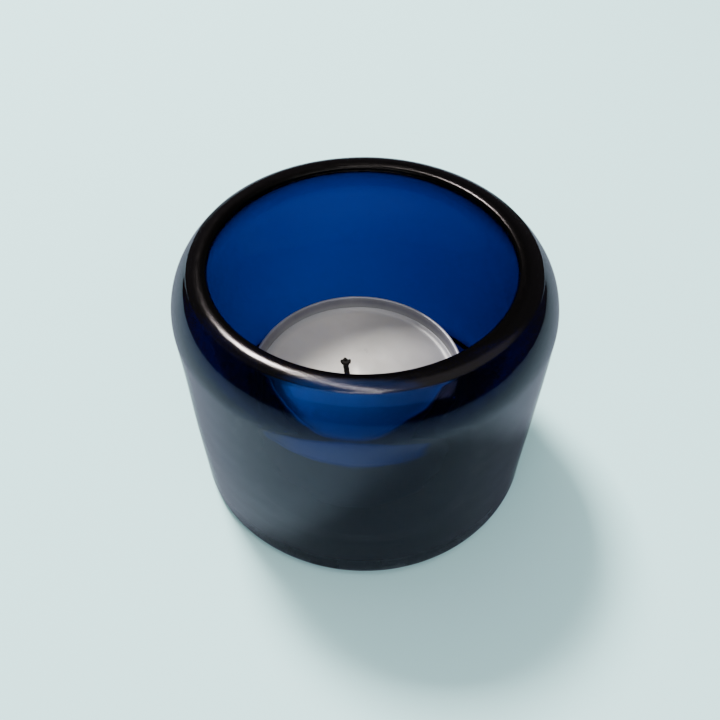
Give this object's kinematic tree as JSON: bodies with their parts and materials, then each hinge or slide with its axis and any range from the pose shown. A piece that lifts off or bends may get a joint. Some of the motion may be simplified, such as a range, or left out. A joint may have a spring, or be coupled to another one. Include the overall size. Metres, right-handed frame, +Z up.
{
  "type": "tealight holder",
  "caption": "Low cobalt-blue glass holder with a rounded shoulder and a wide ground lip, open at the top, with a loose used tealight standing inside it.",
  "frame": {"origin": "centre of the circle the glass stands on", "axes": "+Z up along the glass's axis, out of its mouth; the tealight stands 1.1 mm to the -X side and 0.8 mm to the -Y side of that axis, and its wick a further 1.9 mm to -X"},
  "size_m": [0.062, 0.062, 0.0464],
  "materials": {
    "cobalt_glass": "clear and polished outside and in, with a ground lip",
    "cup_aluminium": "bright drawn foil",
    "paraffin": "waxy, translucent, once melted",
    "charred_cotton": "braided, burnt black at the tip",
    "tinplate": "plain stamped"
  },
  "bodies": {
    "holder": {"glass_holder": "cobalt_glass"},
    "cup": {"candle_cup": "cup_aluminium"},
    "candle": {"wax": "paraffin", "wick": "charred_cotton", "wick_sustainer": "tinplate"}
  },
  "joints": [
    {"name": "tealight_lift", "type": "slide", "parent": "holder", "child": "cup", "axis": [0, 0, 1], "range_m": [0, 0.05]},
    {"name": "wax_lift", "type": "slide", "parent": "cup", "child": "candle", "axis": [0, 0, 1], "range_m": [0, 0.018]}
  ]
}
